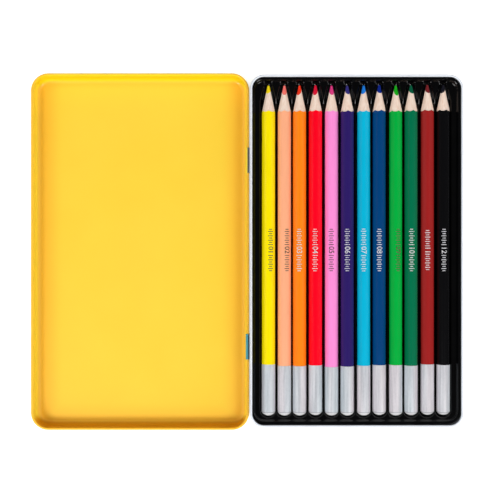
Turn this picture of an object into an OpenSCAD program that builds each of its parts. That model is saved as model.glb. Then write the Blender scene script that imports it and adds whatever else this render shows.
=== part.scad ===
// Hinged sheet-metal tin with a formed tray and a row of sharpened colored pencils.
// X runs across the row of pencils, Y along them with the points at +Y, and Z is up.
// The origin is the middle of the base's underside. The lid lies open on the -X side.

/* [Pencil] */
// Length of a pencil from its point to its dipped end
pencil_length = 175; // [120:1:200]
// Width of the barrel across two opposite flats
pencil_flats = 6.8; // [5:0.1:9]
// How far the six rounded edges of the barrel stand out past its flats
barrel_edge = 0.11; // [0.08:0.01:0.36]
// Thickness of the colored lacquer on the wood
lacquer_skin = 0.15; // [0.1:0.05:0.3]
// Diameter of the colored lead
lead_d = 2.4; // [1.5:0.1:3.2]
// Half of the angle of the sharpened point, in degrees
point_angle = 12; // [9:0.5:18]
// Radius of the blunt tip of the lead
tip_round = 0.6; // [0.1:0.05:0.7]
// Length of the dipped end
dip_length = 26.7; // [6:0.1:50]
// Thickness of the dipped coat over the lacquer
dip_skin = 0.1; // [0.05:0.05:0.3]
// Depth of the rounded end
end_dome = 2; // [1:0.1:3]

/* [Tray] */
// Thickness of the tray's formed sheet
tray_sheet = 0.45; // [0.3:0.05:0.8]
// Clearance between the barrel's edges and its channel
channel_play = 0.51; // [0.3:0.01:0.6]
// Gap between the barrel and the bottom of its channel
seat_gap = 0.3; // [0.25:0.01:0.3]
// Width of the rib between two channels
rib_w = 0.39; // [0.3:0.01:4]
// Drop of the ribs below the deck, alongside the barrels
rib_drop = 0.9; // [0.3:0.1:2]
// Distance from the pencils' ends to the slopes at the ends of the ribs
rib_start = 7.4; // [4:0.1:20]
// Length of the slope from the deck down to the ribs
rib_slope = 3.1; // [1:0.1:8]
// Half of the angle at which a channel narrows toward its small end, in degrees
channel_taper = 13; // [9:0.5:18]
// Radius of the small end of a channel, at the pencil's point
channel_tip_r = 2.1; // [1.2:0.1:2.8]
// Space between the pencil's point and the end of its channel
tip_space = 2.1; // [0.8:0.1:2.3]
// Space between the pencil's dipped end and the end of its channel
tail_space = 1.1; // [0.8:0.1:2.3]
// Space between either end of the pencils and the wall of the tray's well
well_end_space = 2.4; // [2.4:0.1:12]
// Width of the deck beside the outer channels
side_deck = 3.25; // [1.5:0.05:12]
// Depth of the well below the flange
well_depth = 2; // [1:0.1:3]
// Corner radius of the well
well_corner = 5; // [2:0.5:7]
// Radius of the well's rim, where the flange rolls over into it
well_rim = 0.9; // [0.85:0.05:1.2]
// Radius of the well's foot, where its wall runs out into the deck
well_foot = 0.6; // [0.3:0.05:1]
// Width of the flange along the sides
flange_side = 2; // [1.6:0.1:5]
// Width of the flange at the ends
flange_end = 2.3; // [1.6:0.1:5]

/* [Tin] */
// Thickness of the sheet metal
sheet = 0.25; // [0.15:0.05:0.35]
// Height of the base to the top of its rolled rim
base_h = 14; // [12:0.5:30]
// Corner radius of the base, outside
base_corner = 7.4; // [5:0.1:12]
// Radius between the base's wall and its bottom, outside
base_fillet = 1.75; // [0.8:0.05:3]
// Diameter of the base's rolled rim, which curls inward
base_curl = 1.3; // [1:0.1:1.8]
// Room between the tray and the base's wall, at each side
tray_room_side = 0.45; // [0.4:0.05:0.8]
// Room between the tray and the base's wall, at each end
tray_room_end = 0.6; // [0.4:0.05:1.2]
// Gap between the tray's flange and the rolled rim above it
flange_gap = 0.1; // [0.05:0.05:0.4]
// Height of the closed tin above the base's rim
headroom = 2; // [1.9:0.1:8]
// Gap between the base's wall and the closed lid, at the sides
lid_gap_side = 0.35; // [0.35:0.05:0.6]
// Gap between the base's wall and the closed lid, at the ends
lid_gap_end = 0.5; // [0.5:0.05:1]
// Diameter of the lid's rolled bead, which curls outward
lid_bead = 1.5; // [1.2:0.1:1.8]
// Radius between the lid's wall and its panel, outside
lid_fillet = 3; // [1.5:0.1:3.1]

/* [Hinge] */
// Length of one knuckle
knuckle_l = 13.5; // [6:0.5:30]
// Distance from each end of the base to the middle of the knuckle
knuckle_inset = 43.4; // [20:0.1:60]
// Clearance between the lid's bead and the knuckle round it
knuckle_play = 0.1; // [0.05:0.01:0.1]
// Length of the knuckle's tongue down the base's wall
tongue_l = 4; // [2:0.5:5]
// Clearance of the lid's windows round the knuckles
window_gap = 0.3; // [0.2:0.05:1]

/* [Placing] */
// Slide of the tray in the base, across
tray_slide_x = -0.3; // [-0.3:0.05:0.3]
// Slide of the tray in the base, along
tray_slide_y = 0.3; // [-0.3:0.05:0.3]
// Slide of the lid along its hinge
lid_slide = -0.3; // [-0.3:0.05:0.3]
// Slide of the pair of knuckles along the base's wall
knuckle_slide = -1.3; // [-3:0.1:3]

/* [Hidden] */
$fn = 64;
SMALL = 0.01;
// The circles that round an edge stand this far proud of the faces beside it, which they cross.
edge_blend = 0.01;
// How far a cutting shape reaches past what it cuts.
waste = 1;
// Short cones that round the tip of the lead.
tip_steps = 5;

// Each pencil: its name, lacquer and lead, how it lies in its channel (moved along, moved
// across, rolled in degrees), how much longer than the others its dipped end is, and how far
// its lead runs off the barrel's axis (across, up).
PENCILS = [
    ["yellow",     [0.99, 0.90, 0.04], [1.00, 0.80, 0.04], [0.0,  0.2,   1],  0.6, [-0.10, 0.20]],
    ["peach",      [1.00, 0.69, 0.52], [1.00, 0.45, 0.41], [0.0,  0.2,  -1], -0.1, [ 0.00, 0.40]],
    ["orange",     [1.00, 0.53, 0.09], [0.92, 0.20, 0.08], [0.0, -0.2,   2], -0.2, [-0.25, 0.35]],
    ["red",        [0.99, 0.03, 0.13], [0.84, 0.06, 0.20], [0.2, -0.2,  -1],  0.0, [-0.15, 0.45]],
    ["pink",       [1.00, 0.56, 0.84], [0.84, 0.22, 0.49], [0.0, -0.1,   8], -0.7, [ 0.05, 0.40]],
    ["purple",     [0.18, 0.11, 0.40], [0.20, 0.18, 0.47], [0.0, -0.2,   2], -0.4, [ 0.10, 0.30]],
    ["light_blue", [0.02, 0.71, 0.85], [0.10, 0.47, 0.84], [0.0,  0.1,  17],  0.0, [-0.15, 0.25]],
    ["blue",       [0.02, 0.25, 0.47], [0.02, 0.14, 0.51], [0.3, -0.1,  13],  0.0, [ 0.05, 0.25]],
    ["green",      [0.02, 0.68, 0.24], [0.08, 0.65, 0.08], [0.0,  0.2,  18],  0.3, [ 0.15, 0.45]],
    ["dark_green", [0.02, 0.44, 0.29], [0.02, 0.35, 0.24], [0.2, -0.1,  11], -0.2, [ 0.10, 0.25]],
    ["brown",      [0.62, 0.13, 0.13], [0.45, 0.12, 0.14], [0.4,  0.1,  29],  0.3, [ 0.10, 0.25]],
    ["black",      [0.04, 0.04, 0.05], [0.08, 0.08, 0.12], [0.4,  0.1,  17],  0.0, [-0.20, 0.20]],
];
function name_of(pencil) = pencil[0];
function lacquer_of(pencil) = pencil[1];
function lead_of(pencil) = pencil[2];
function moved_along(pencil) = pencil[3][0];
function moved_across(pencil) = pencil[3][1];
function rolled(pencil) = pencil[3][2];
function dip_more(pencil) = pencil[4];
function lead_off(pencil) = pencil[5];

// Barrel: how far a rounded edge stands from the axis, and the radius that rounds it.
edge_r = pencil_flats / 2 + barrel_edge;
barrel_round = pencil_flats / 2 - barrel_edge / (1 / cos(30) - 1);
// Clear radius that every cut round the barrel reaches past.
outside_r = edge_r + 2 * waste;
// The point's cone would come to its apex this far past the blunt tip.
apex_z = pencil_length + tip_round / sin(point_angle) - tip_round;
// Radius of the rounded end, which meets the dipped edges at the depth of the dome.
dome_r = (pow(edge_r + dip_skin, 2) + pow(end_dome, 2)) / (2 * end_dome);

// Tray, from the pencils outward.
channel_r = edge_r + channel_play;
pitch = 2 * channel_r + rib_w;
row_w = (len(PENCILS) - 1) * pitch;
well_w = row_w + 2 * (channel_r + side_deck);
well_l = pencil_length + 2 * well_end_space;
tray_w = well_w + 2 * flange_side;
tray_l = well_l + 2 * flange_end;

// Base, round the tray.
base_w = tray_w + 2 * (tray_room_side + sheet);
base_l = tray_l + 2 * (tray_room_end + sheet);
tray_corner = base_corner - sheet - tray_room_side;
flange_z = base_h - base_curl - flange_gap;
deck_z = flange_z - well_depth;
// The channels' axes lie in the deck, and a pencil's axis sinks a little below.
barrel_z = deck_z - (channel_play - seat_gap);
// The skirt ends where it meets the round of the base's bottom.
inner_fillet = base_fillet - sheet;
skirt_z = base_fillet - sqrt(pow(inner_fillet, 2) - pow(inner_fillet - tray_room_side, 2)) + flange_gap;

// Lid, round the base. Open and closed, it lies flat at the same hinge height.
closed_h = base_h + headroom;
pivot_z = closed_h / 2;
pivot_x = -(base_w / 2 + lid_gap_side + lid_bead / 2);
lid_h = pivot_z + lid_bead / 2;
lid_w = base_w + 2 * (lid_gap_side + sheet);
lid_l = base_l + 2 * (lid_gap_end + sheet);
lid_corner = base_corner + lid_gap_side + sheet;
knuckle_in_r = lid_bead / 2 + knuckle_play;
// The knuckle's outside just meets the base's wall.
knuckle_out_r = lid_bead / 2 + lid_gap_side;

module rounded_rectangle(width, length, corner) {
    square([width - 2 * corner, length], center = true);
    square([width, length - 2 * corner], center = true);
    for (side = [-1, 1], end = [-1, 1])
        translate([side * (width / 2 - corner), end * (length / 2 - corner)])
            circle(corner);
}

module slab(width, length, corner, bottom, top) {
    translate([0, 0, bottom])
        linear_extrude(top - bottom)
            rounded_rectangle(width, length, corner);
}

// Sweeps a flat profile round a rounded rectangle: profile x points outward from its edge, y up.
module sweep_round(width, length, corner) {
    for (turn = [0, 1]) {
        across = turn == 0 ? width : length;
        along = turn == 0 ? length : width;
        for (half = [0, 180])
            rotate([0, 0, 90 * turn + half])
                translate([across / 2, along / 2 - corner, 0])
                    rotate([90, 0, 0])
                        linear_extrude(along - 2 * corner)
                            children();
    }
    for (side = [0, 1], end = [0, 1])
        mirror([side, 0, 0])
            mirror([0, end, 0])
                translate([width / 2 - corner, length / 2 - corner, 0])
                    rotate_extrude(angle = 90)
                        translate([corner, 0])
                            children();
}

// Flat ring with one quarter left out: the section of a rolled edge.
module curl_section(radius, thickness, open_x) {
    difference() {
        circle(radius);
        circle(radius - thickness);
        translate([open_x < 0 ? -radius - SMALL : 0, -radius - SMALL])
            square([radius + SMALL, radius + SMALL]);
    }
}

// Section of a pan's wall: the round at the bottom, the upright and the rolled edge.
module wall_section(height, fillet, curl_d, outward) {
    curl_r = curl_d / 2;
    intersection() {
        translate([-fillet, fillet])
            difference() {
                circle(fillet);
                circle(fillet - sheet);
            }
        translate([-fillet, 0])
            square([fillet, fillet]);
    }
    translate([-sheet, fillet])
        square([sheet, height - curl_r - fillet]);
    translate([outward ? curl_r - sheet : -curl_r, height - curl_r])
        curl_section(curl_r, sheet, outward ? -1 : 1);
}

module pan(width, length, height, corner, fillet, curl_d, outward) {
    slab(width - 2 * fillet, length - 2 * fillet, corner - fillet, 0, sheet);
    sweep_round(width, length, corner)
        wall_section(height, fillet, curl_d, outward);
}

module base() {
    color([0.96, 0.96, 0.95])
        pan(base_w, base_l, base_h, base_corner, base_fillet, base_curl, false);
}

function knuckle_y(end) = end * (base_l / 2 - knuckle_inset) + knuckle_slide;

// Openings in the lid's rear wall, beside the bead, through which the knuckles reach round it.
module lid_windows() {
    length = knuckle_l + 2 * (window_gap + abs(lid_slide));
    depth = knuckle_out_r + window_gap;
    for (end = [-1, 1])
        translate([lid_w / 2 - sheet - window_gap, knuckle_y(end) - lid_slide - length / 2, pivot_z - depth])
            cube([sheet + window_gap, length, depth]);
}

module lid() {
    color([0.99, 0.80, 0.22])
        translate([2 * pivot_x, lid_slide, 0])
            difference() {
                pan(lid_w, lid_l, lid_h, lid_corner, lid_fillet, lid_bead, true);
                lid_windows();
            }
}

// Strip of sheet that lies on the base's wall and curls over and round the lid's bead.
module knuckle(end) {
    translate([pivot_x, knuckle_y(end) + knuckle_l / 2, pivot_z])
        rotate([90, 0, 0])
            linear_extrude(knuckle_l) {
                curl_section(knuckle_out_r, knuckle_out_r - knuckle_in_r, 1);
                translate([knuckle_in_r, -tongue_l])
                    square([knuckle_out_r - knuckle_in_r, tongue_l]);
            }
}

module knuckle_upper() {
    color([0.30, 0.27, 0.22])
        knuckle(1);
}

module knuckle_lower() {
    color([0.28, 0.66, 0.74])
        knuckle(-1);
}

// Ball that rounds an end of a channel, at +Y for side 1 and at -Y for side -1. It is tilted so
// that its poles and its seam lie above the deck or inside the channel.
module end_ball(radius, side) {
    rotate([-45 * side, 0, 0])
        rotate(-90 * side)
            sphere(radius);
}

// The space of one channel, widened by the sheet for its underside: a barrel along Y,
// tapered to a small round end at the pencil's point and rounded at its dipped end.
module channel(grow) {
    tip_r = (channel_tip_r + grow) / cos(channel_taper);
    barrel_r = channel_r + grow;
    tip_y = pencil_length / 2 + tip_space - channel_tip_r;
    tail_y = -pencil_length / 2 - tail_space + channel_r;
    shoulder_y = tip_y - (barrel_r - tip_r) / tan(channel_taper);
    translate([0, tail_y, 0])
        end_ball(barrel_r, -1);
    translate([0, tip_y, 0])
        end_ball(tip_r, 1);
    rotate([-90, 0, 0])
        rotate(-90)
            rotate_extrude()
                polygon([
                    [0, tail_y],
                    [barrel_r, tail_y],
                    [barrel_r, shoulder_y],
                    [tip_r, tip_y],
                    [0, tip_y],
                ]);
}

// The hollow across the ribs, with a slope up to the deck at each end.
module rib_hollow(grow) {
    top_l = pencil_length - 2 * rib_start;
    translate([-row_w / 2, 0, deck_z])
        rotate([90, 0, 90])
            linear_extrude(row_w)
                polygon([
                    [-top_l / 2, grow],
                    [-top_l / 2, -grow],
                    [-top_l / 2 + rib_slope, -rib_drop - grow],
                    [top_l / 2 - rib_slope, -rib_drop - grow],
                    [top_l / 2, -grow],
                    [top_l / 2, grow],
                ]);
}

// Section of what a round takes off an edge: the edge is at 0, and the solid lies below and
// on the +X side of it.
module round_off(radius) {
    difference() {
        translate([-SMALL, -radius])
            square([radius + SMALL, radius + SMALL]);
        translate([radius, -radius])
            circle(radius + edge_blend);
    }
}

// The hollow of the well: a rounded foot round its floor, and a rim rolled over from the flange.
module well(grow) {
    width = well_w + 2 * grow;
    length = well_l + 2 * grow;
    corner = well_corner + grow;
    floor_z = deck_z - grow;
    difference() {
        slab(width, length, corner, floor_z, flange_z + waste);
        sweep_round(width, length, corner)
            translate([0, floor_z])
                rotate(180)
                    round_off(well_foot + grow);
    }
    sweep_round(width, length, corner)
        translate([0, flange_z - grow])
            round_off(well_rim - grow);
}

// Everything below the tray's surface, drawn in by the sheet for its underside.
module tray_form(grow) {
    difference() {
        slab(tray_w - 2 * grow, tray_l - 2 * grow, tray_corner - grow, skirt_z - grow, flange_z - grow);
        well(grow);
        for (i = [0 : len(PENCILS) - 1])
            translate([i * pitch - row_w / 2, 0, deck_z])
                channel(grow);
        rib_hollow(grow);
    }
}

module tray() {
    color([0.05, 0.05, 0.05])
        translate([tray_slide_x, tray_slide_y, 0])
            difference() {
                tray_form(0);
                tray_form(tray_sheet);
            }
}

// Section of the barrel, a hexagon with rounded edges, drawn in by an inset.
module barrel_section(inset) {
    round_r = barrel_round - inset;
    reach = edge_r - barrel_round;
    polygon([
        for (turn = [0 : 60 : 300], side = [-30, 30])
            reach * [cos(turn), sin(turn)] + round_r * [cos(turn + side), sin(turn + side)]
    ]);
    for (turn = [0 : 60 : 300])
        rotate(turn)
            translate([reach, 0])
                circle(round_r + edge_blend / 2);
}

// What the sharpener takes away from a barrel with its point at the top.
module sharpened_off() {
    cone_r = edge_r + waste;
    cone_h = cone_r / tan(point_angle);
    translate([0, 0, apex_z - cone_h])
        difference() {
            translate([0, 0, SMALL])
                cylinder(h = cone_h + waste, r = outside_r);
            cylinder(h = cone_h, r1 = cone_r, r2 = 0);
        }
}

// What rounds the other end, down to a skin below the dipped surface.
module rounded_off(skin) {
    difference() {
        translate([0, 0, -waste])
            cylinder(h = waste + end_dome + dip_skin, r = outside_r);
        translate([0, 0, dome_r])
            sphere(dome_r - skin);
    }
}

// Puts a pencil piece, built upright with its end at 0, into its channel.
module laid(i) {
    pencil = PENCILS[i];
    x = tray_slide_x + moved_across(pencil) + i * pitch - row_w / 2;
    y = tray_slide_y + moved_along(pencil) - pencil_length / 2;
    translate([x, y, barrel_z])
        rotate([-90, 0, 0])
            rotate([0, 0, rolled(pencil)])
                children();
}

// The long round bar of the lead, off the barrel's axis however the barrel is rolled.
module lead_bar(i, bottom, top) {
    pencil = PENCILS[i];
    rotate(-rolled(pencil))
        translate([lead_off(pencil)[0], -lead_off(pencil)[1], bottom])
            cylinder(h = top - bottom, d = lead_d);
}

module wood(i) {
    color([0.90, 0.78, 0.68])
        laid(i)
            difference() {
                linear_extrude(pencil_length)
                    barrel_section(lacquer_skin);
                sharpened_off();
                rounded_off(dip_skin);
                lead_bar(i, -waste, pencil_length + waste);
            }
}

module lacquer(i) {
    color(lacquer_of(PENCILS[i]))
        laid(i)
            difference() {
                linear_extrude(pencil_length)
                    barrel_section(0);
                translate([0, 0, -waste])
                    linear_extrude(pencil_length + 2 * waste)
                        barrel_section(lacquer_skin);
                sharpened_off();
                rounded_off(dip_skin);
            }
}

// Outline of a sharpened bar as wide as the barrel: the cone, then the round of the blunt tip.
function point_outline() = concat(
    [[0, 0], [edge_r, 0], [edge_r, apex_z - edge_r / tan(point_angle)]],
    [for (step = [0 : tip_steps])
        let (t = point_angle + (90 - point_angle) * step / tip_steps)
            [tip_round * cos(t), pencil_length - tip_round + tip_round * sin(t)]]
);

module lead(i) {
    color(lead_of(PENCILS[i]))
        laid(i)
            intersection() {
                lead_bar(i, end_dome, pencil_length + waste);
                rotate_extrude()
                    polygon(point_outline());
            }
}

module dip(i) {
    color([0.80, 0.80, 0.81])
        laid(i)
            difference() {
                linear_extrude(dip_length + dip_more(PENCILS[i]))
                    barrel_section(-dip_skin);
                rounded_off(0);
                difference() {
                    translate([0, 0, -waste])
                        linear_extrude(dip_length + abs(dip_more(PENCILS[i])) + 2 * waste)
                            barrel_section(0);
                    rounded_off(dip_skin);
                }
            }
}

base();
tray();
lid();
knuckle_upper();
knuckle_lower();
for (i = [0 : len(PENCILS) - 1]) {
    wood(i);
    lacquer(i);
    lead(i);
    dip(i);
}
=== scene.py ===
# %% [markdown]
# # A tin of colored pencils, seen from straight above
#
# The tin lies wide open: a yellow-lacquered lid on the left, and on the right the white base,
# a black formed tray and twelve sharpened pencils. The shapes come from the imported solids. This
# script gives them their finishes, draws the tray's sheet with softer edges, stamps a mark on
# each pencil and lights it all. The first step loads the solids as a fixed frame.

import math

import bmesh
import bpy
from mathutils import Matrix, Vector


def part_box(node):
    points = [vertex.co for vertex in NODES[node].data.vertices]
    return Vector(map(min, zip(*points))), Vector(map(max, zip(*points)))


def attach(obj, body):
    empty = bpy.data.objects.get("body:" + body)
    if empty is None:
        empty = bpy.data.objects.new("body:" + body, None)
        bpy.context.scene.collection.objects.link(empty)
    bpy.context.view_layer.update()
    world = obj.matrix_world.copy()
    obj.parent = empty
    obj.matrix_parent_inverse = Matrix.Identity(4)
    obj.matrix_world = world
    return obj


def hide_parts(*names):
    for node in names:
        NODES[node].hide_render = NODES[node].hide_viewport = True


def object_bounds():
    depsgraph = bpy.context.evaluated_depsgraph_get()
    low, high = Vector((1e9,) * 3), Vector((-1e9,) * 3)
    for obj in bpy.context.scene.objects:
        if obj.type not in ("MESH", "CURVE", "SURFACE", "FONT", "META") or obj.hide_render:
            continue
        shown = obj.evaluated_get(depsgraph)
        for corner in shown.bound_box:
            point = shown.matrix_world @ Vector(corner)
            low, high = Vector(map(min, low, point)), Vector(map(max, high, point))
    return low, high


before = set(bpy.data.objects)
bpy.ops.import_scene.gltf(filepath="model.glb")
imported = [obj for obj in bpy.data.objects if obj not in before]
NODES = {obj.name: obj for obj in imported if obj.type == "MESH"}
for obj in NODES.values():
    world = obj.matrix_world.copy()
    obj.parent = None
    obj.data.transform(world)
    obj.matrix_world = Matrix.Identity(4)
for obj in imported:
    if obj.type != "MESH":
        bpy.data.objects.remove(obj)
CAD_BOX = [list(corner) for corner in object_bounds()]
SCENE = bpy.context.scene
MM = 0.001

# %% [markdown]
# ## The camera
#
# The camera hangs half a metre over the hinge and looks straight down, so the lid and the base
# lean away from the middle a little. Its lens is worked out from one fact: at the height of
# the pencils, a millimetre is 1.886 pixels wide.

# %% Camera
CAMERA_HEIGHT = 500 * MM
CAMERA_PAST_BASE = 0.2 * MM
CAMERA_ALONG = 0.55 * MM
PICTURE_HEIGHT_PX = 500
PX_PER_MM = 1.886
SENSOR_MM = 36

lead_low, lead_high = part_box("lead_yellow")
pencil_axis_z = (lead_low.z + lead_high.z) / 2
base_low, base_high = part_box("base")

camera_x = base_low.x - CAMERA_PAST_BASE
view_height = PICTURE_HEIGHT_PX / PX_PER_MM * MM
camera_data = bpy.data.cameras.new("camera")
camera_data.sensor_width = SENSOR_MM
camera_data.lens = SENSOR_MM * (CAMERA_HEIGHT - pencil_axis_z) / view_height
camera = bpy.data.objects.new("camera", camera_data)
camera.location = (camera_x, CAMERA_ALONG, CAMERA_HEIGHT)
SCENE.collection.objects.link(camera)
SCENE.camera = camera
print("lens", round(camera_data.lens, 1), "mm, over", [round(v / MM, 1) for v in camera.location])

# %% [markdown]
# ## Light
#
# A black glossy tray shows whatever hangs over it, so nothing bright hangs there. Soft boxes
# stand round the tin instead. The two strongest stand at the corners on the side of the dipped
# ends: they leave short glints on the rounded ends of the channels. The others only wrap light
# round the barrels and the lid's walls, so reflections don't show them. Each row of the table
# is one box: its name, where it stands in degrees round the tin and above the floor, its size
# in metres, its power in watts, and whether gloss shows it. Larger and nearer boxes would be
# softer still, but would show as grey bands in the black.

# %% Soft boxes
SOFT_BOXES = [
    ("key_left", -45, 50, 0.35, 5.4, True),
    ("key_right", 45, 50, 0.35, 5.4, True),
    ("back_left", -140, 48, 0.4, 1.1, False),
    ("back_right", 140, 48, 0.4, 1.1, False),
    ("card_front", 0, 22, 0.8, 4.0, False),
    ("fill_left", -100, 32, 0.8, 5.6, False),
    ("fill_right", 100, 32, 0.8, 5.6, False),
]
LAMP_DISTANCE = 1.3  # metres
MIDDLE = Vector((camera_x, CAMERA_ALONG, 0))
SCENE.view_settings.view_transform = "Standard"


def soft_box(name, azimuth, elevation, size, power):
    """A square area lamp that looks at the tin. Azimuth 0 stands at the dipped ends, 90 on +X."""
    turn = math.radians(azimuth)
    lift = math.radians(elevation)
    away = Vector((
        math.sin(turn) * math.cos(lift),
        -math.cos(turn) * math.cos(lift),
        math.sin(lift),
    ))
    data = bpy.data.lights.new(name, "AREA")
    data.shape = "SQUARE"
    data.size = size
    data.energy = power
    lamp = bpy.data.objects.new(name, data)
    lamp.location = MIDDLE + away * LAMP_DISTANCE
    lamp.rotation_mode = "QUATERNION"
    lamp.rotation_quaternion = away.to_track_quat("Z", "Y")
    SCENE.collection.objects.link(lamp)
    return lamp


for name, azimuth, elevation, size, power, in_gloss in SOFT_BOXES:
    soft_box(name, azimuth, elevation, size, power).visible_glossy = in_gloss
print("lamps", [row[0] for row in SOFT_BOXES])

# %% [markdown]
# ## The room
#
# The world is a quiet studio: the camera sees plain white, shiny surfaces see a pale horizon
# under a dark ceiling, and everything else gets a weak even fill. Light Path tells these rays
# apart, so the white background adds no light to the object.

# %% World
FILL = 0.1
CEILING = 0.03
HORIZON = 0.25
# How steeply a ray climbs where the horizon starts to fade and where the ceiling is reached.
FADE_START = 0.02
FADE_END = 0.4


def math_node(tree, operation, first, second=0.0):
    """One arithmetic node; each input is a number or a socket."""
    node = tree.nodes.new("ShaderNodeMath")
    node.operation = operation
    for socket, value in zip(node.inputs, (first, second)):
        if isinstance(value, (int, float)):
            socket.default_value = value
        else:
            tree.links.new(value, socket)
    return node.outputs[0]


def map_range(tree, value, low, high, out_low, out_high):
    """Eases from one number to another while a value runs from low to high."""
    node = tree.nodes.new("ShaderNodeMapRange")
    node.interpolation_type = "SMOOTHSTEP"
    tree.links.new(value, node.inputs["Value"])
    for socket, number in zip(node.inputs[1:5], (low, high, out_low, out_high)):
        socket.default_value = number
    return node.outputs[0]


def axes(tree, kind):
    """X, Y and Z of one kind of texture coordinate, such as Object or Normal."""
    place = tree.nodes.new("ShaderNodeTexCoord")
    split = tree.nodes.new("ShaderNodeSeparateXYZ")
    tree.links.new(place.outputs[kind], split.inputs[0])
    return split.outputs


def looking_rays(tree):
    """Two sockets: 1 for rays from the camera, and 1 for rays off a mirror or through glass."""
    rays = tree.nodes.new("ShaderNodeLightPath")
    mirrored = math_node(tree, "MAXIMUM", rays.outputs["Is Glossy Ray"],
                         rays.outputs["Is Transmission Ray"])
    return rays.outputs["Is Camera Ray"], mirrored


world = bpy.data.worlds.new("studio")
SCENE.world = world
world.use_nodes = True
tree = world.node_tree
tree.nodes.clear()
by_camera, mirrored = looking_rays(tree)
climb = axes(tree, "Generated")["Z"]
pale_horizon = map_range(tree, climb, FADE_START, FADE_END, HORIZON, CEILING)
reflected = math_node(tree, "MULTIPLY", mirrored, pale_horizon)
lighting = math_node(tree, "SUBTRACT", 1.0, math_node(tree, "MAXIMUM", mirrored, by_camera))
strength = math_node(tree, "ADD", math_node(tree, "ADD", by_camera, reflected),
                     math_node(tree, "MULTIPLY", lighting, FILL))
sky = tree.nodes.new("ShaderNodeBackground")
sky.inputs["Color"].default_value = (1, 1, 1, 1)
sky_out = tree.nodes.new("ShaderNodeOutputWorld")
tree.links.new(strength, sky.inputs["Strength"])
tree.links.new(sky.outputs[0], sky_out.inputs[0])
print("fill", FILL, "horizon", HORIZON, "ceiling", CEILING)

# %% [markdown]
# ## A shorthand for materials
#
# Every finish here starts from Blender's Principled shader. Its color and roughness come from
# noise on Object coordinates, which are metres on the piece itself, so a noise scale of 1000
# makes patches of about a millimetre, and the pattern stays on the piece when it moves. Where a
# finish changes from place to place, a second color is painted over the first by a factor.

# %% Material helpers
def new_material(name):
    """A new material, its node tree and its Principled shader."""
    material = bpy.data.materials.new(name)
    material.use_nodes = True
    tree = material.node_tree
    shader = tree.nodes["Principled BSDF"]
    return material, tree, shader


def object_coordinates(tree, stretch=(1, 1, 1)):
    """Object coordinates; a smaller number in stretch draws the pattern out along that axis."""
    place = tree.nodes.new("ShaderNodeTexCoord")
    mapping = tree.nodes.new("ShaderNodeMapping")
    mapping.inputs["Scale"].default_value = stretch
    tree.links.new(place.outputs["Object"], mapping.inputs["Vector"])
    return mapping.outputs["Vector"]


def noise(tree, vector, scale, detail=3.0, roughness=0.5):
    """Noise from 0 to 1; the scale is about how many patches fit in a metre."""
    node = tree.nodes.new("ShaderNodeTexNoise")
    for key, value in (("Scale", scale), ("Detail", detail), ("Roughness", roughness)):
        node.inputs[key].default_value = value
    tree.links.new(vector, node.inputs["Vector"])
    return node.outputs["Fac"]


def ramp(tree, factor, stops):
    """A color ramp from (position, color) pairs."""
    node = tree.nodes.new("ShaderNodeValToRGB")
    elements = node.color_ramp.elements
    while len(elements) < len(stops):
        elements.new(0.5)
    for element, (position, color) in zip(elements, stops):
        element.position = position
        element.color = (*color, 1)
    tree.links.new(factor, node.inputs["Fac"])
    return node.outputs["Color"]


def bump(tree, shader, height, strength, distance):
    """Waves the shading, not the shape; the distance is how deep the waves would be."""
    node = tree.nodes.new("ShaderNodeBump")
    node.inputs["Strength"].default_value = strength
    node.inputs["Distance"].default_value = distance
    tree.links.new(height, node.inputs["Height"])
    tree.links.new(node.outputs["Normal"], shader.inputs["Normal"])


def linear(red, green, blue):
    """A color written as screen values from 0 to 255, as the linear values that Blender wants."""
    def one(value):
        value = value / 255
        return value / 12.92 if value <= 0.04045 else ((value + 0.055) / 1.055) ** 2.4
    return (one(red), one(green), one(blue))


def shade(color, factor):
    """A color made darker or lighter by a factor."""
    return tuple(min(1.0, channel * factor) for channel in color)


def blend_colors(tree, factor, first, second):
    """Mixes two colors, each a color or a socket."""
    node = tree.nodes.new("ShaderNodeMix")
    node.data_type = "RGBA"
    tree.links.new(factor, node.inputs["Factor"])
    for socket, value in zip((node.inputs[6], node.inputs[7]), (first, second)):
        if isinstance(value, tuple):
            socket.default_value = (*value, 1)
        else:
            tree.links.new(value, socket)
    return node.outputs[2]


def paint_over(tree, shader, factor, color):
    """Mixes one more color over the base color, where the factor is 1."""
    base_color = shader.inputs["Base Color"]
    under = base_color.links[0].from_socket
    tree.links.new(blend_colors(tree, factor, under, color), base_color)


def dress(node, material):
    """Gives a CAD node's object its finish, through its material slots."""
    for slot in NODES[node].material_slots:
        slot.material = material


print("material helpers ready")

# %% [markdown]
# ## Lacquered sheet metal
#
# Lid and base are pressed from printed tinplate: a smooth baked lacquer with a faint mottle and
# orange peel, rubbed a little dull in places. Steep faces, the walls and the bead, get a second
# color, which the material takes from how far a face leans away from lying flat. Shaders know
# that as the normal, and the Normal of the Texture Coordinate node stays right when the lid
# swings shut, because it is read in the piece's own space. On the lid that second color is a
# paler yellow, a painted highlight.

# %% Lacquered sheet
# The upright part of a face's normal, where a face counts as flat and where as steep.
FLAT = 0.97
STEEP = 0.3


def lean(tree, start, end):
    """Eases from 0 to 1 while the upright part of a face's normal goes from start to end."""
    upright = math_node(tree, "ABSOLUTE", axes(tree, "Normal")["Z"])
    return map_range(tree, upright, end, start, 1.0, 0.0)


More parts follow.
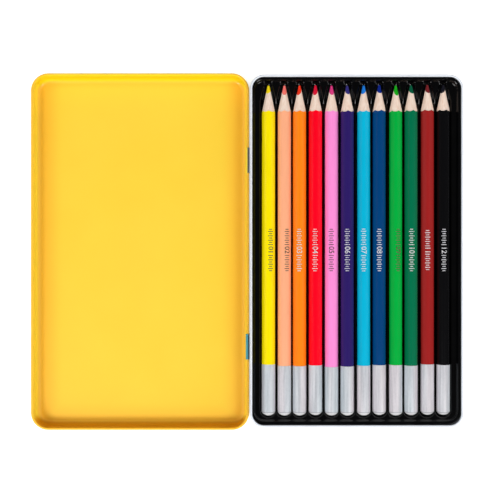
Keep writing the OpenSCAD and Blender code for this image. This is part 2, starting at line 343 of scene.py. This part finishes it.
def sheet_lacquer(name, color, wall_color, roughness, coat):
    """Baked lacquer on tinplate: even, faintly mottled, with orange peel and rubbed patches."""
    material, tree, shader = new_material(name)
    place = object_coordinates(tree)
    mottle = noise(tree, place, scale=45)
    flat = ramp(tree, mottle, [(0.3, shade(color, 0.985)), (0.7, shade(color, 1.01))])
    # steep faces get wall_color; on the lid it is a paler yellow, a painted highlight
    tint = blend_colors(tree, lean(tree, FLAT, STEEP), flat, wall_color)
    tree.links.new(tint, shader.inputs["Base Color"])
    rubbed = noise(tree, place, scale=22, detail=4.0, roughness=0.6)
    tree.links.new(map_range(tree, rubbed, 0.4, 0.65, roughness, roughness + 0.12),
                   shader.inputs["Roughness"])
    shader.inputs["Specular IOR Level"].default_value = 0.35
    shader.inputs["Coat Weight"].default_value = coat
    shader.inputs["Coat Roughness"].default_value = 0.1
    peel = noise(tree, place, scale=900, detail=2.0)
    bump(tree, shader, peel, strength=0.05, distance=0.2 * MM)
    return material, tree, shader


# %% [markdown]
# ## Painted shade and highlights on the tin
#
# The lid's yellow turns deeper along its long sides and its front end: painted shade, where
# the walls shade the floor and throw colored bounce onto it. Its end wall at +Y is painted a
# lighter lemon, a painted highlight where it faces the strongest lamps, and the one at -Y a
# darker orange, painted shade. The sides of the base's rolled rim are painted grey, painted
# shade where the rim turns down into the gap. The knuckles are cut from a printed sheet; a dark
# band across each is painted shade where its curl turns down, and the upper one has a band of
# the lid bead's pale yellow, a painted highlight. All of these are colors painted over the
# first one, found by place and normal, so they need no image.

# %% Painted shade and highlights on the tin
SIDE_REACH = 16 * MM
FRONT_START = 3 * MM
FRONT_END = 14 * MM
RIM_REACH = 1.2 * MM
BAND_SOFTNESS = 0.05
# Parts of the normal between which a face becomes an end wall, and the rim's side.
WALL_TURN = (0.15, 0.7)
RIM_TURN = (0.8, 0.35)


def paint_side_shade(tree, shader, node, shade_color):
    """Paints shade on a node's flat part: a deeper color along its long sides and its front end."""
    low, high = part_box(node)
    spot = axes(tree, "Object")
    half = (high.x - low.x) / 2
    off_middle = math_node(tree, "SUBTRACT", spot["X"], (low.x + high.x) / 2)
    by_side = map_range(tree, math_node(tree, "ABSOLUTE", off_middle),
                        half - SIDE_REACH, half - SIDE_REACH / 3, 0.0, 1.0)
    by_front = map_range(tree, spot["Y"], low.y + FRONT_START, low.y + FRONT_END, 1.0, 0.0)
    near = math_node(tree, "MAXIMUM", by_side, by_front)
    # painted shade: the walls' shadow and colored bounce on the floor near them
    on_flat = math_node(tree, "MULTIPLY", near, lean(tree, STEEP, FLAT))
    paint_over(tree, shader, on_flat, shade_color)


def paint_end_wall_light_and_shade(tree, shader, node, end, color):
    """Paints how the light falls on one end wall's inner face; end is 1 for +Y and -1 for -Y."""
    low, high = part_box(node)
    facing = math_node(tree, "MULTIPLY", axes(tree, "Normal")["Y"], -end)
    inward = map_range(tree, facing, *WALL_TURN, 0.0, 1.0)
    off_middle = math_node(tree, "SUBTRACT", axes(tree, "Object")["Y"], (low.y + high.y) / 2)
    this_half = math_node(tree, "GREATER_THAN", math_node(tree, "MULTIPLY", off_middle, end))
    paint_over(tree, shader, math_node(tree, "MULTIPLY", inward, this_half), color)


def paint_rim_side_shade(tree, shader, node, rim_shade):
    """Paints grey shade on a rolled rim, where faces near the node's top turn to the side."""
    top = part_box(node)[1].z
    near_top = map_range(tree, axes(tree, "Object")["Z"],
                         top - RIM_REACH, top - RIM_REACH / 2, 0.0, 1.0)
    on_side = math_node(tree, "MULTIPLY", near_top, lean(tree, *RIM_TURN))
    paint_over(tree, shader, on_side, rim_shade)


def band_across(tree, shader, node, start, end, color):
    """Colors one band across a small node, from one share of its width to another."""
    low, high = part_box(node)
    across = axes(tree, "Object")["X"]
    width = high.x - low.x
    soft = width * BAND_SOFTNESS
    first = low.x + width * start
    last = low.x + width * end
    after = map_range(tree, across, first - soft, first + soft, 0.0, 1.0)
    before = map_range(tree, across, last - soft, last + soft, 1.0, 0.0)
    paint_over(tree, shader, math_node(tree, "MULTIPLY", after, before), color)


# %% Dress the tin
YELLOW = linear(254, 212, 60)
PAINTED_HIGHLIGHT_YELLOW = linear(255, 226, 62)
PAINTED_SHADE_YELLOW = linear(255, 196, 54)
PAINTED_LIGHT_LEMON = linear(252, 222, 10)
PAINTED_SHADE_ORANGE = linear(222, 148, 8)
WHITE = linear(232, 237, 244)
PAINTED_RIM_SHADE = linear(142, 144, 150)
PAINTED_SHADE_BROWN = linear(92, 84, 70)
BLUE = linear(76, 168, 190)
PAINTED_SHADE_TEAL = linear(34, 52, 58)

# painted highlight: a paler yellow on the lid's walls and bead
lid_yellow, tree, shader = sheet_lacquer(
    "lid_yellow", YELLOW, PAINTED_HIGHLIGHT_YELLOW, roughness=0.42, coat=0.35)
# painted shade: deeper yellow along the lid floor's long sides and its front end
paint_side_shade(tree, shader, "lid", PAINTED_SHADE_YELLOW)
# painted highlight: the +Y end wall, which faces the strongest lamps, is painted lemon
paint_end_wall_light_and_shade(tree, shader, "lid", 1, PAINTED_LIGHT_LEMON)
# painted shade: the -Y end wall, which faces away from them, is painted orange
paint_end_wall_light_and_shade(tree, shader, "lid", -1, PAINTED_SHADE_ORANGE)
dress("lid", lid_yellow)

base_white, tree, shader = sheet_lacquer(
    "base_white", WHITE, WHITE, roughness=0.35, coat=0.3)
# painted shade: grey on the sides of the base's rim, where it turns down into the gap
paint_rim_side_shade(tree, shader, "base", PAINTED_RIM_SHADE)
dress("base", base_white)

# The bands start before a knuckle's edge, or end past it, where the color runs off it.
knuckle_dark, tree, shader = sheet_lacquer(
    "knuckle_dark", WHITE, WHITE, roughness=0.4, coat=0.3)
# painted highlight: the lid bead's pale yellow on the upper knuckle's outer strip
band_across(tree, shader, "knuckle_upper", -1.0, 0.42, PAINTED_HIGHLIGHT_YELLOW)
# painted shade: brown where the upper knuckle's curl turns down into the gap
band_across(tree, shader, "knuckle_upper", 0.42, 0.82, PAINTED_SHADE_BROWN)
dress("knuckle_upper", knuckle_dark)

knuckle_blue, tree, shader = sheet_lacquer(
    "knuckle_blue", BLUE, BLUE, roughness=0.4, coat=0.3)
# painted shade: dark teal where the lower knuckle's curl turns down into the gap; past it, the
# base's white
band_across(tree, shader, "knuckle_lower", 0.55, 0.85, PAINTED_SHADE_TEAL)
band_across(tree, shader, "knuckle_lower", 0.85, 2.0, WHITE)
dress("knuckle_lower", knuckle_blue)
print("sheet metal dressed")

# %% [markdown]
# ## The formed tray
#
# The real tray is one thin black sheet, drawn by vacuum over a mould, so every edge of it is
# soft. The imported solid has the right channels, but crisp edges along them. A bevel would have
# to follow a line that bends round every tapered channel. So this piece is drawn the same way
# as the real one: a flat grid of vertices drops onto the shape of the mould, edge radii and
# all. A skirt is extruded down from its border, and Solidify gives it its thickness. The sizes
# are the solid's own, in millimetres from the tray's middle, and the last two are the soft
# edges that the solid lacks.

# %% The mould
PITCH = 8.43
CHANNEL_COUNT = 12
CHANNEL_R = 4.02
TAPER = math.radians(13)
POINT_SLOPE = math.tan(TAPER)
TIP_R = 2.1 / math.cos(TAPER)
TIP_Y = 87.5
TAIL_Y = -84.58
SHOULDER_Y = TIP_Y - (CHANNEL_R - TIP_R) / POINT_SLOPE
RIB_DROP = 0.9
RIB_END = 80.1
RIB_SLOPE = 3.1
WELL_DEPTH = 2.0
WELL_RIM = 0.9
WELL_FOOT = 0.6
# Width, length and corner radius of two rounded rectangles.
WELL_SIZE = (107.27, 179.8, 5.0)
TRAY_SIZE = (111.27, 184.4, 6.7)
# From the middle of the row to the first and last channels.
ROW_HALF = (CHANNEL_COUNT - 1) / 2 * PITCH
CHANNEL_EDGE = 0.75
OUTER_EDGE = 0.5


def inside_rectangle(x, y, width, length, corner):
    """How far a point lies inside a rounded rectangle; negative outside."""
    over_x = abs(x) - (width / 2 - corner)
    over_y = abs(y) - (length / 2 - corner)
    beyond = math.hypot(max(over_x, 0), max(over_y, 0))
    return corner - beyond - min(max(over_x, over_y), 0)


def arc_fall(distance, radius):
    """Height lost on a rounded edge: 0 a radius away from it, a whole radius at the edge."""
    if distance >= radius:
        return 0.0
    reach = radius - max(distance, 0.0)
    return radius - math.sqrt(radius * radius - reach * reach)


def deck_height(x, y):
    """Flange, the well's wall and the deck, without the channels; the deck is at 0."""
    inside = inside_rectangle(x, y, *WELL_SIZE)
    if inside < 0:
        outer = arc_fall(inside_rectangle(x, y, *TRAY_SIZE), OUTER_EDGE)
        return WELL_DEPTH - arc_fall(-inside, WELL_RIM) - outer
    height = arc_fall(inside, WELL_FOOT)
    if abs(x) < ROW_HALF:
        along = (RIB_END - abs(y)) / RIB_SLOPE
        along = min(max(along, 0.0), 1.0)
        height -= RIB_DROP * along * along * (3 - 2 * along)
    return height


def channel_radius(y):
    """Radius of a channel's round section at a place along it; 0 past its two ball ends."""
    if y < TAIL_Y:
        return math.sqrt(max(CHANNEL_R ** 2 - (y - TAIL_Y) ** 2, 0.0))
    if y < SHOULDER_Y:
        return CHANNEL_R
    if y < TIP_Y:
        return TIP_R + (TIP_Y - y) * POINT_SLOPE
    return math.sqrt(max(TIP_R ** 2 - (y - TIP_Y) ** 2, 0.0))


def channel_distance(across, y, level):
    """Distance outside the channel's outline at one level of the deck."""
    drop = level * level
    if y > TIP_Y:
        return math.hypot(across, y - TIP_Y) - math.sqrt(TIP_R ** 2 - drop)
    if y < TAIL_Y:
        return math.hypot(across, y - TAIL_Y) - math.sqrt(CHANNEL_R ** 2 - drop)
    return across - math.sqrt(channel_radius(y) ** 2 - drop)


def mould_height(x, y):
    """The mould's surface, from its own middle, in millimetres above the deck."""
    deck = deck_height(x, y)
    column = round((x + ROW_HALF) / PITCH)
    height = deck
    for near in (column - 1, column, column + 1):
        if not 0 <= near < CHANNEL_COUNT:
            continue
        across = abs(x - (near * PITCH - ROW_HALF))
        outside = channel_distance(across, y, min(deck, 0.0))
        if outside < CHANNEL_EDGE and deck < WELL_FOOT:
            height = min(height, deck - arc_fall(outside, CHANNEL_EDGE))
        radius = channel_radius(y)
        if across < radius:
            height = min(height, -math.sqrt(radius * radius - across * across))
    return height


print("bottom of a channel", round(mould_height(ROW_HALF, 0), 2), "mm")
print("top of a rib", round(mould_height(0, 0), 2), "mm")

# %% Rows of the grid, and its rounded corners
# Each band of rows starts at a place along the tray and has a number of equal steps, so the
# curved ends get many rows and the straight barrels get few.
ROW_BANDS = [
    (-92.2, 26), (-83.5, 4), (-80.4, 11), (-76.7, 12), (76.7, 12), (80.4, 38), (92.2, 0),
]


def band_edges(bands):
    """The places of all the rows, from the first band's start to the last one's."""
    rows = []
    for (start, steps), (end, _) in zip(bands, bands[1:]):
        rows += [start + (end - start) * step / steps for step in range(steps)]
    return rows + [bands[-1][0]]


def to_outline(x, y, size):
    """Moves a point that lies outside a rounded rectangle onto its outline."""
    width, length, corner = size
    outside = -inside_rectangle(x, y, *size)
    if outside <= 0:
        return x, y
    center_x = math.copysign(min(abs(x), width / 2 - corner), x)
    center_y = math.copysign(min(abs(y), length / 2 - corner), y)
    scale = corner / (corner + outside)
    return center_x + (x - center_x) * scale, center_y + (y - center_y) * scale


rows = band_edges(ROW_BANDS)
print("rows", len(rows))

# %% Mesh helpers
def face_upwards(form):
    """Turns all faces the same way round, with their outsides up."""
    bmesh.ops.recalc_face_normals(form, faces=form.faces)
    if sum(face.normal.z for face in form.faces) < 0:
        bmesh.ops.reverse_faces(form, faces=form.faces)


def to_object(form, name):
    """Closes a bmesh and puts it in the scene as an object."""
    mesh = bpy.data.meshes.new(name)
    form.to_mesh(mesh)
    form.free()
    thing = bpy.data.objects.new(name, mesh)
    SCENE.collection.objects.link(thing)
    return thing


print("mesh helpers ready")

# %% The sheet drawn over the mould
COLUMNS_PER_CHANNEL = 28
SHEET_THICKNESS = 0.25 * MM
MERGE_WITHIN = 0.02 * MM
SLIVER = 0.005 * MM

step_x = PITCH / COLUMNS_PER_CHANNEL
half_columns = math.ceil(TRAY_SIZE[0] / 2 / step_x)
tray_low, tray_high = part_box("tray")
tray_middle = (tray_low + tray_high) / 2
deck_z = tray_high.z - WELL_DEPTH * MM

form = bmesh.new()
bmesh.ops.create_grid(form, x_segments=2 * half_columns, y_segments=len(rows) - 1, size=1)
for vert in form.verts:
    x = vert.co.x * half_columns * step_x
    y = rows[round((vert.co.y + 1) / 2 * (len(rows) - 1))]
    x, y = to_outline(x, y, TRAY_SIZE)
    vert.co = (x * MM + tray_middle.x, y * MM + tray_middle.y, mould_height(x, y) * MM + deck_z)
bmesh.ops.remove_doubles(form, verts=form.verts, dist=MERGE_WITHIN)
bmesh.ops.dissolve_degenerate(form, edges=form.edges, dist=SLIVER)
border = [edge for edge in form.edges if edge.is_boundary]
skirt = bmesh.ops.extrude_edge_only(form, edges=border)["geom"]
for vert in skirt:
    if isinstance(vert, bmesh.types.BMVert):
        vert.co.z = tray_low.z
face_upwards(form)
for face in form.faces:
    face.smooth = True
formed_tray = to_object(form, "formed_tray")
thickness = formed_tray.modifiers.new("thickness", "SOLIDIFY")
thickness.thickness = SHEET_THICKNESS
thickness.offset = -1
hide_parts("tray")
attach(formed_tray, "base")
print("tray faces", len(formed_tray.data.polygons))

# %% [markdown]
# ## Glossy black sheet
#
# The sheet is colored through, so its diffuse color is close to nothing, and all that the eye
# sees is gloss. A low roughness keeps the glints crisp, and a weak, wide noise bump gives the
# soft waviness of a sheet that was warm when it was drawn.

# %% Tray finish
DEEP_BLACK = (0.0010, 0.0010, 0.0012)


def formed_plastic():
    """Glossy black sheet, drawn over a mould: deep black with a soft waviness."""
    material, tree, shader = new_material("tray_black")
    place = object_coordinates(tree)
    cloud = noise(tree, place, scale=120)
    tint = ramp(tree, cloud, [(0.3, DEEP_BLACK), (0.75, shade(DEEP_BLACK, 2))])
    tree.links.new(tint, shader.inputs["Base Color"])
    shader.inputs["Roughness"].default_value = 0.09
    shader.inputs["Specular IOR Level"].default_value = 0.6
    waves = noise(tree, place, scale=260, detail=2.0)
    bump(tree, shader, waves, strength=0.05, distance=0.4 * MM)
    return material


tray_finish = formed_plastic()
formed_tray.data.materials.append(tray_finish)
dress("tray", tray_finish)
print("tray dressed")

# %% [markdown]
# ## Pencils
#
# Each pencil has four finishes. The barrel is lacquered in thin coats, and where the sharpener
# trimmed the lacquer the pale primer shows: that ring is found by how far the normal leans
# along the pencil. The sharpened cone is bare cedar, the lead is waxy and finely ringed, and
# the far end is dipped in silver. The wood is one material for all twelve, and lacquer and
# lead are made twelve times by a function, because only their color differs.

# %% Pencil colors
# Each pencil's lacquer and lead, from left to right.
PENCILS = {
    "yellow": (linear(253, 230, 2), linear(255, 216, 12)),
    "peach": (linear(254, 175, 133), linear(255, 115, 105)),
    "orange": (linear(254, 135, 22), linear(235, 50, 20)),
    "red": (linear(252, 2, 32), linear(215, 15, 50)),
    "pink": (linear(254, 144, 215), linear(215, 55, 125)),
    "purple": (linear(45, 28, 101), linear(50, 45, 120)),
    "light_blue": (linear(3, 180, 216), linear(25, 120, 215)),
    "blue": (linear(1, 64, 121), linear(5, 35, 130)),
    "green": (linear(2, 173, 62), linear(20, 165, 20)),
    "dark_green": (linear(1, 112, 74), linear(0, 90, 60)),
    "brown": (linear(159, 33, 32), linear(115, 30, 35)),
    "black": (linear(10, 10, 12), linear(20, 20, 30)),
}
print("pencils", list(PENCILS))

# %% Barrel lacquer
PRIMER = linear(240, 216, 198)
# How far the normal leans along the pencil where the trimmed edge starts and is reached.
TRIM_START = 0.08
TRIM_END = 0.14


def barrel_lacquer(name, color):
    """Thin coats of gloss on wood: the grain waves the surface, and the cut edge shows primer."""
    material, tree, shader = new_material("lacquer_" + name)
    streak = noise(tree, object_coordinates(tree, (1, 0.06, 1)), scale=900)
    paint = ramp(tree, streak, [(0.3, shade(color, 0.96)), (0.7, shade(color, 1.02))])
    tree.links.new(paint, shader.inputs["Base Color"])
    trimmed = map_range(tree, axes(tree, "Normal")["Y"], TRIM_START, TRIM_END, 0.0, 1.0)
    paint_over(tree, shader, trimmed, PRIMER)
    shader.inputs["Roughness"].default_value = 0.2
    shader.inputs["Specular IOR Level"].default_value = 0.28
    bump(tree, shader, streak, strength=0.08, distance=0.2 * MM)
    return material


# %% Cedar
CEDAR_TONES = [
    (0.25, linear(234, 200, 176)),
    (0.5, linear(247, 222, 204)),
    (0.8, linear(252, 234, 220)),
]


def cut_cedar():
    """Sharpened wood: pale pinkish bands along the grain, and fine knife marks round the cone."""
    material, tree, shader = new_material("wood")
    along = object_coordinates(tree, (1, 0.12, 1))
    grain = noise(tree, along, scale=1400, detail=4.0, roughness=0.6)
    tree.links.new(ramp(tree, grain, CEDAR_TONES), shader.inputs["Base Color"])
    shader.inputs["Roughness"].default_value = 0.75
    marks = noise(tree, object_coordinates(tree, (0.2, 1, 0.2)), scale=3000, detail=2.0)
    bump(tree, shader, marks, strength=0.3, distance=0.1 * MM)
    return material


# %% Lead
def waxy_lead(name, color):
    """Waxy pigment, turned by the sharpener: slightly uneven in color and finely ringed."""
    material, tree, shader = new_material("lead_" + name)
    grain = noise(tree, object_coordinates(tree), scale=1800)
    tint = ramp(tree, grain, [(0.3, shade(color, 0.92)), (0.7, shade(color, 1.2))])
    tree.links.new(tint, shader.inputs["Base Color"])
    shader.inputs["Roughness"].default_value = 0.5
    shader.inputs["Specular IOR Level"].default_value = 0.2
    rings = noise(tree, object_coordinates(tree, (0.1, 1, 0.1)), scale=4000, detail=2.0)
    bump(tree, shader, rings, strength=0.25, distance=0.1 * MM)
    return material


# %% [markdown]
# ## The dipped ends
#
# Silver lacquer is paint with fine metal flake, not bare metal, so it is only a little metallic
# and gets a clear coat. It runs along the pencil in long streaks. A darker ring is painted where
# the rounded end starts, and past it the end is painted pale: a painted highlight, for the light
# the rounded end catches from the lamps at the dipped ends. Its tone drifts a little from pencil
# to pencil, which one noise across the row gives to all twelve, so one material serves. The ends
# lie within half a millimetre of each other, so ring and highlight are measured from the first one.

# %% Silver dip
COOL_SILVER = [(0.34, linear(188, 196, 202)), (0.66, linear(220, 226, 231))]
WARM_SILVER = [(0.34, linear(198, 193, 199)), (0.66, linear(230, 225, 229))]
RUN_SHARE = 0.8
RING_SHADE = linear(176, 178, 182)
RING_FROM_END = 2.1 * MM
RING_WIDTH = 0.3 * MM
PAINTED_END_HIGHLIGHT = linear(255, 255, 255)
HIGHLIGHT_FROM_END = 1.9 * MM


def silver_dip():
    """Silver lacquer with fine flake and long runs, a darker ring near the end and a painted
    highlight past it.
    """
    material, tree, shader = new_material("dip")
    flake = noise(tree, object_coordinates(tree, (1, 0.3, 1)), scale=2500, detail=2.0)
    run = noise(tree, object_coordinates(tree, (1, 0.05, 1)), scale=700, detail=2.0)
    uneven = math_node(tree, "ADD", math_node(tree, "MULTIPLY", flake, 1 - RUN_SHARE),
                       math_node(tree, "MULTIPLY", run, RUN_SHARE))
    across = noise(tree, object_coordinates(tree, (1, 0.02, 0.02)), scale=90, detail=1.0)
    drift = map_range(tree, across, 0.4, 0.6, 0.0, 1.0)
    tint = blend_colors(tree, drift, ramp(tree, uneven, COOL_SILVER),
                        ramp(tree, uneven, WARM_SILVER))
    tree.links.new(tint, shader.inputs["Base Color"])
    end_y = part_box("dip_yellow")[0].y
    from_end = math_node(tree, "SUBTRACT", axes(tree, "Object")["Y"], end_y)
    off_ring = math_node(tree, "ABSOLUTE", math_node(tree, "SUBTRACT", from_end, RING_FROM_END))
    paint_over(tree, shader, map_range(tree, off_ring, RING_WIDTH / 3, RING_WIDTH, 1.0, 0.0),
               RING_SHADE)
    # painted highlight: the rounded end painted pale, for the light it catches from the lamps at
    # the dipped ends
    paint_over(tree, shader,
               map_range(tree, from_end, HIGHLIGHT_FROM_END * 0.8, HIGHLIGHT_FROM_END, 1.0, 0.0), PAINTED_END_HIGHLIGHT)
    shader.inputs["Metallic"].default_value = 0.2
    shader.inputs["Roughness"].default_value = 0.3
    shader.inputs["Coat Weight"].default_value = 0.3
    shader.inputs["Coat Roughness"].default_value = 0.15
    bump(tree, shader, uneven, strength=0.08, distance=0.1 * MM)
    return material


# %% Dress the pencils
cedar = cut_cedar()
silver = silver_dip()
for pencil, (paint, pigment) in PENCILS.items():
    dress("wood_" + pencil, cedar)
    dress("lacquer_" + pencil, barrel_lacquer(pencil, paint))
    dress("lead_" + pencil, waxy_lead(pencil, pigment))
    dress("dip_" + pencil, silver)
print("pencils dressed", len(PENCILS))

# %% [markdown]
# ## Foil marks
#
# Each pencil carries a foil stamp along its upper side: here a plain color number in the
# middle of a row of ticks, like those of a rule. The digits come from Blender's own font,
# turned to a mesh. The flat mark is cut into strips and then wrapped round the barrel: how far
# a vertex lies across becomes an angle, and the round of the barrel's nearest edge gives its
# radius. Over the middle of a flat that round runs 0.03 mm low, so a hair of lacquer shows
# there. A picture on the barrel would do it too, but would need a file. On four of the barrels
# the foil is dull and dark, and on the others it is bright.

# %% How far the mark lies from the barrel's axis
# In millimetres: to the middle of a flat, to the top of a rounded edge, and that edge's radius.
FLAT_RADIUS = 3.4
EDGE_RADIUS = 3.51
ROUND_RADIUS = 2.689


def barrel_radius(turn):
    """Radius of the nearest edge's round, in millimetres, at an angle from a flat's middle."""
    from_flat = abs((turn + math.pi / 6) % (math.pi / 3) - math.pi / 6)
    from_edge = math.pi / 6 - from_flat
    reach = EDGE_RADIUS - ROUND_RADIUS
    across = reach * math.sin(from_edge)
    return reach * math.cos(from_edge) + math.sqrt(ROUND_RADIUS ** 2 - across ** 2)


print("over a flat", round(barrel_radius(0), 3), "over an edge", barrel_radius(math.pi / 6))

# %% The flat mark
DIGIT_HEIGHT = 2.7
# Height of a digit as a share of the font's size, and how much its strokes are thickened.
DIGIT_SHARE = 0.7
STROKE_GROWTH = 0.05
TICKS = 8
TICK_STEP = 1.15
TICK_WIDTH = 0.42
TICK_HEIGHTS = (2.7, 1.7)
TICK_GAP = 1.0
# The mark is cut along its length at every strip's edge, so that it can bend.
STRIP = 0.4
STRIP_CUTS = range(-3, 4)
CUT_WITHIN = 0.0001


def flat_digits(text):
    """The digits as a flat mesh in millimetres, centered on 0."""
    curve = bpy.data.curves.new("digits", "FONT")
    curve.body = text
    curve.size = DIGIT_HEIGHT / DIGIT_SHARE
    curve.offset = STROKE_GROWTH
    curve.align_x = "CENTER"
    curve.align_y = "CENTER"
    holder = bpy.data.objects.new("digits", curve)
    SCENE.collection.objects.link(holder)
    flat = bpy.data.meshes.new_from_object(
        holder.evaluated_get(bpy.context.evaluated_depsgraph_get()))
    bpy.data.objects.remove(holder)
    bpy.data.curves.remove(curve)
    return flat


def add_tick(form, along, height):
    """One tick of the rule, at a place along the mark."""
    tick = bmesh.ops.create_grid(form, x_segments=1, y_segments=1, size=0.5)["verts"]
    bmesh.ops.scale(form, verts=tick, vec=(TICK_WIDTH, height, 1))
    bmesh.ops.translate(form, verts=tick, vec=(along, 0, 0))


def flat_mark(number):
    """Number and ticks, built flat round 0, reading along X and cut into strips."""
    form = bmesh.new()
    digits = flat_digits(f"{number:02d}")
    form.from_mesh(digits)
    bpy.data.meshes.remove(digits)
    half_text = max(abs(vert.co.x) for vert in form.verts)
    for tick in range(TICKS):
        along = half_text + TICK_GAP + tick * TICK_STEP
        for side in (-1, 1):
            add_tick(form, side * along, TICK_HEIGHTS[tick % 2])
    for cut in STRIP_CUTS:
        bmesh.ops.bisect_plane(
            form, geom=form.verts[:] + form.edges[:] + form.faces[:],
            plane_co=(0, cut * STRIP, 0), plane_no=(0, 1, 0), dist=CUT_WITHIN,
        )
    return form


print("ticks on each side", TICKS)

# %% Wrap the marks round the barrels
FOIL_LIFT = 0.02  # millimetres
MARK_MIDDLE_Y = 0.55 * MM
# How a barrel is rolled, and how far round from the top its mark lies, in degrees.
MARKS = {
    "yellow": (1, 18), "peach": (-1, 22), "orange": (2, -6), "red": (-1, -7),
    "pink": (8, -7), "purple": (2, -5), "light_blue": (17, -6), "blue": (13, -6),
    "green": (18, 15), "dark_green": (11, -3), "brown": (29, -8), "black": (17, -3),
}
DULL_MARKS = ("yellow", "peach", "pink", "green")


def foil_mark(pencil, number):
    """Wraps a flat mark on a pencil's barrel, a hair above the lacquer."""
    roll, place = (math.radians(degrees) for degrees in MARKS[pencil])
    low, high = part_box("lacquer_" + pencil)
    axis_x = (low.x + high.x) / 2
    axis_z = (low.z + high.z) / 2
    form = flat_mark(number)
    for vert in form.verts:
        turn = place + vert.co.y / FLAT_RADIUS
        radius = barrel_radius(turn - roll) + FOIL_LIFT
        vert.co = (
            axis_x + radius * math.sin(turn) * MM,
            MARK_MIDDLE_Y - vert.co.x * MM,
            axis_z + radius * math.cos(turn) * MM,
        )
    face_upwards(form)
    mark = to_object(form, "foil_" + pencil)
    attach(mark, "pencil_" + pencil)
    return mark


def stamped_foil(name, low_tone, high_tone):
    """Stamped metal foil, a little broken up where it did not take on the lacquer."""
    material, tree, shader = new_material(name)
    worn = noise(tree, object_coordinates(tree), scale=2200)
    tint = ramp(tree, worn, [(0.35, low_tone), (0.6, high_tone)])
    tree.links.new(tint, shader.inputs["Base Color"])
    shader.inputs["Metallic"].default_value = 0.4
    shader.inputs["Roughness"].default_value = 0.35
    return material


bright_foil = stamped_foil("bright_foil", linear(196, 196, 200), linear(250, 250, 252))
dull_foil = stamped_foil("dull_foil", linear(52, 44, 34), linear(112, 98, 80))
for number, pencil in enumerate(PENCILS, start=1):
    mark = foil_mark(pencil, number)
    mark.data.materials.append(dull_foil if pencil in DULL_MARKS else bright_foil)
print("foil marks", len(PENCILS))

# %% [markdown]
# ## The floor
#
# A plain white sheet far larger than the view. Rays that look at it directly get a little
# extra white, which is not cast on the object, and the soft shadow under the tin stays. Far
# from the tin, where the soft boxes no longer reach, the extra grows to a full white.

# %% Floor
FLOOR_SIZE = 6.0
FLOOR_BELOW = 0.05 * MM
FLOOR_WHITE = 0.9
EXTRA_WHITE = 0.6
# Distances from the tin between which the extra grows to a full white, in metres.
LIT_REACH = 0.3
FAR_REACH = 1.2

form = bmesh.new()
bmesh.ops.create_grid(form, x_segments=1, y_segments=1, size=FLOOR_SIZE / 2)
bmesh.ops.translate(form, verts=form.verts, vec=(0, 0, CAD_BOX[0][2] - FLOOR_BELOW))
floor = to_object(form, "floor")

floor_material, tree, shader = new_material("floor_white")
shader.inputs["Base Color"].default_value = (FLOOR_WHITE, FLOOR_WHITE, FLOOR_WHITE, 1)
shader.inputs["Roughness"].default_value = 0.9
shader.inputs["Specular IOR Level"].default_value = 0.1
shader.inputs["Emission Color"].default_value = (1, 1, 1, 1)
reach = tree.nodes.new("ShaderNodeVectorMath")
reach.operation = "LENGTH"
tree.links.new(object_coordinates(tree), reach.inputs[0])
extra = map_range(tree, reach.outputs["Value"], LIT_REACH, FAR_REACH, EXTRA_WHITE, 1.0)
looked_at = math_node(tree, "MAXIMUM", *looking_rays(tree))
tree.links.new(math_node(tree, "MULTIPLY", looked_at, extra), shader.inputs["Emission Strength"])
floor.data.materials.append(floor_material)
print("floor", FLOOR_SIZE, "m")
